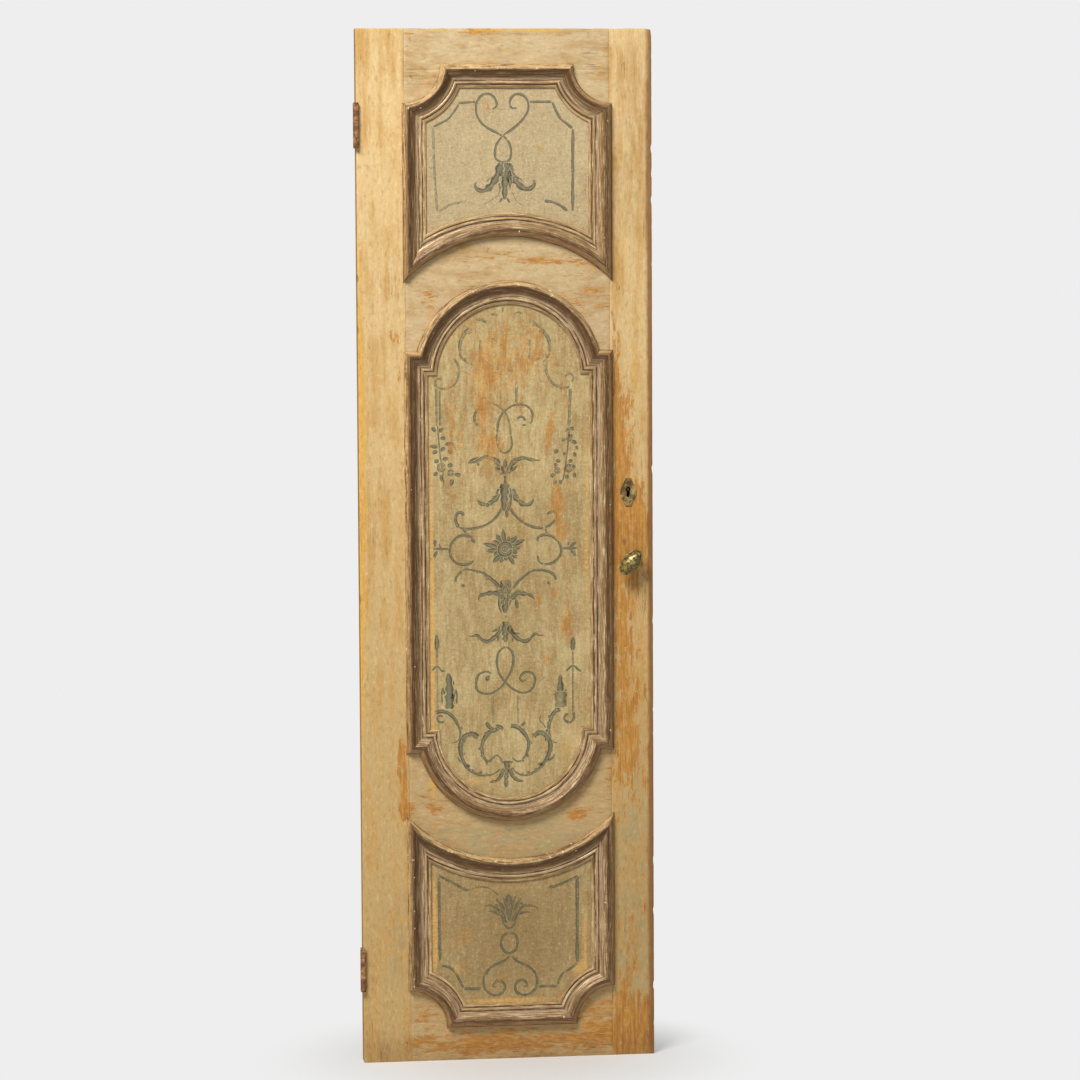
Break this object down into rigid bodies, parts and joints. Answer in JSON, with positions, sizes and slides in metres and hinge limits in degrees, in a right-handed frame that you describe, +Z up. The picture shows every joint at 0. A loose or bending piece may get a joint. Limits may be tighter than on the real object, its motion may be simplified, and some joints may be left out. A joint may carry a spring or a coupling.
{
  "type": "weathered wooden door",
  "caption": "Narrow framed door with shaped panels in planted mouldings, butt hinges, a rim lock and an oval turn knob.",
  "frame": {"origin": "middle of the foot of the door, half way through its whole depth", "axes": "+Z up the door, +X from the hinge side to the lock side, the painted front faces -Y"},
  "size_m": [0.6068, 0.103, 2.1],
  "materials": {
    "painted_frame": "worn ochre and cream distemper over pine, rubbed through to orange-brown wood",
    "painted_panel": "faded beige paint with blue-grey scroll ornament, finely crazed",
    "gilt_moulding": "dulled silver-gilt under brown varnish, worn and chipped at the crests",
    "bare_wood": "bare, aged",
    "rusty_iron": "brown rust",
    "dark_iron": "dark, lightly rusted",
    "aged_brass": "tarnished, rubbed bright on the high places"
  },
  "bodies": {
    "jamb": {"upper_jamb_leaf": "rusty_iron", "upper_hinge_pin": "rusty_iron", "lower_jamb_leaf": "rusty_iron", "lower_hinge_pin": "rusty_iron"},
    "door": {"hinge_stile": "painted_frame", "lock_stile": "painted_frame", "top_rail": "painted_frame", "upper_middle_rail": "painted_frame", "lower_middle_rail": "painted_frame", "bottom_rail": "painted_frame", "upper_hinge_side_corner_block": "painted_frame", "upper_lock_side_corner_block": "painted_frame", "lower_hinge_side_corner_block": "painted_frame", "lower_lock_side_corner_block": "painted_frame", "top_panel": "painted_panel", "centre_panel": "painted_panel", "bottom_panel": "painted_panel", "joint_pegs": "bare_wood", "top_moulding_head": "gilt_moulding", "top_moulding_hinge_side_corner": "gilt_moulding", "top_moulding_lock_side_corner": "gilt_moulding", "top_moulding_hinge_side": "gilt_moulding", "top_moulding_lock_side": "gilt_moulding", "top_moulding_bow": "gilt_moulding", "centre_moulding_head": "gilt_moulding", "centre_moulding_upper_hinge_side_shoulder": "gilt_moulding", "centre_moulding_upper_lock_side_shoulder": "gilt_moulding", "centre_moulding_hinge_side": "gilt_moulding", "centre_moulding_lock_side": "gilt_moulding", "centre_moulding_lower_hinge_side_shoulder": "gilt_moulding", "centre_moulding_lower_lock_side_shoulder": "gilt_moulding", "centre_moulding_foot": "gilt_moulding", "bottom_moulding_bow": "gilt_moulding", "bottom_moulding_hinge_side": "gilt_moulding", "bottom_moulding_lock_side": "gilt_moulding", "bottom_moulding_hinge_side_corner": "gilt_moulding", "bottom_moulding_lock_side_corner": "gilt_moulding", "bottom_moulding_foot": "gilt_moulding", "moulding_brads": "rusty_iron", "upper_door_leaf": "rusty_iron", "lower_door_leaf": "rusty_iron", "hinge_screws": "dark_iron", "escutcheon": "aged_brass", "escutcheon_pins": "aged_brass", "lock_case": "dark_iron", "lock_cap": "dark_iron", "key_pin": "dark_iron", "bolt_guide": "dark_iron", "lock_screws": "dark_iron", "spindle_washer": "dark_iron"},
    "knob": {"knob": "aged_brass", "knob_spindle": "dark_iron", "catch_bar": "rusty_iron"},
    "bolt": {"dead_bolt": "dark_iron", "bolt_spring": "dark_iron"}
  },
  "joints": [
    {"name": "door_swing", "type": "hinge", "parent": "jamb", "child": "door", "pos_m": [-0.29738, -0.0108, 0], "axis": [0, 0, 1], "range_deg": [-170, 0]},
    {"name": "knob_turn", "type": "hinge", "parent": "door", "child": "knob", "pos_m": [0.25288, -0.0285, 1.021], "axis": [0, -1, 0], "continuous": true},
    {"name": "bolt_throw", "type": "slide", "parent": "door", "child": "bolt", "axis": [1, 0, 0], "range_m": [0, 0.012]}
  ]
}
